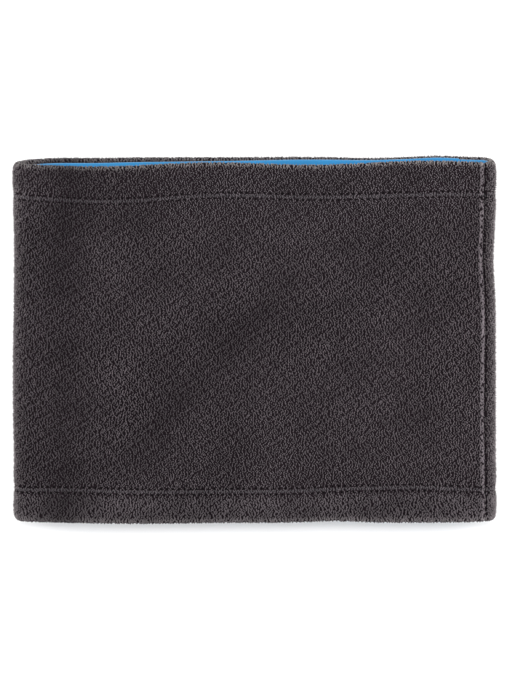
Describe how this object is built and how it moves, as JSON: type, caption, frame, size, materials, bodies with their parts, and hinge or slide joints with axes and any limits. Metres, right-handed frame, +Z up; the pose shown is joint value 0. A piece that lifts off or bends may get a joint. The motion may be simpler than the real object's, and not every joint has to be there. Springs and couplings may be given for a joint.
{
  "type": "neck gaiter",
  "caption": "Double-layer fleece neck gaiter lying flat: a charcoal fleece tube with a smooth blue lining, zigzag-stitched hems at both rims and a side seam.",
  "frame": {"origin": "middle of the face that the gaiter lies on, at the bottom centre of its bounding box", "axes": "+Z up through the flattened tube, +X across its laid width towards the fold beside the shell's side seam, +Y along the wearing axis towards the upper rim"},
  "size_m": [0.265, 0.2, 0.016],
  "materials": {
    "shell_fleece": "charcoal pebbled fleece, matt, soft pile",
    "lining_fleece": "blue brushed knit, matt, smooth",
    "shell_thread": "charcoal spun polyester thread",
    "lining_thread": "blue spun polyester thread",
    "seam_thread": "charcoal spun polyester thread"
  },
  "bodies": {
    "root": {"outer_shell": "shell_fleece", "lining": "lining_fleece", "top_hem_needle_thread": "shell_thread", "top_hem_bobbin_thread": "lining_thread", "bottom_hem_needle_thread": "shell_thread", "bottom_hem_bobbin_thread": "lining_thread", "top_rim_seam_thread": "seam_thread", "bottom_rim_seam_thread": "seam_thread", "shell_side_seam_thread": "seam_thread", "shell_side_overlock_thread": "seam_thread", "lining_side_seam_thread": "seam_thread", "lining_side_overlock_thread": "seam_thread"}
  },
  "joints": []
}
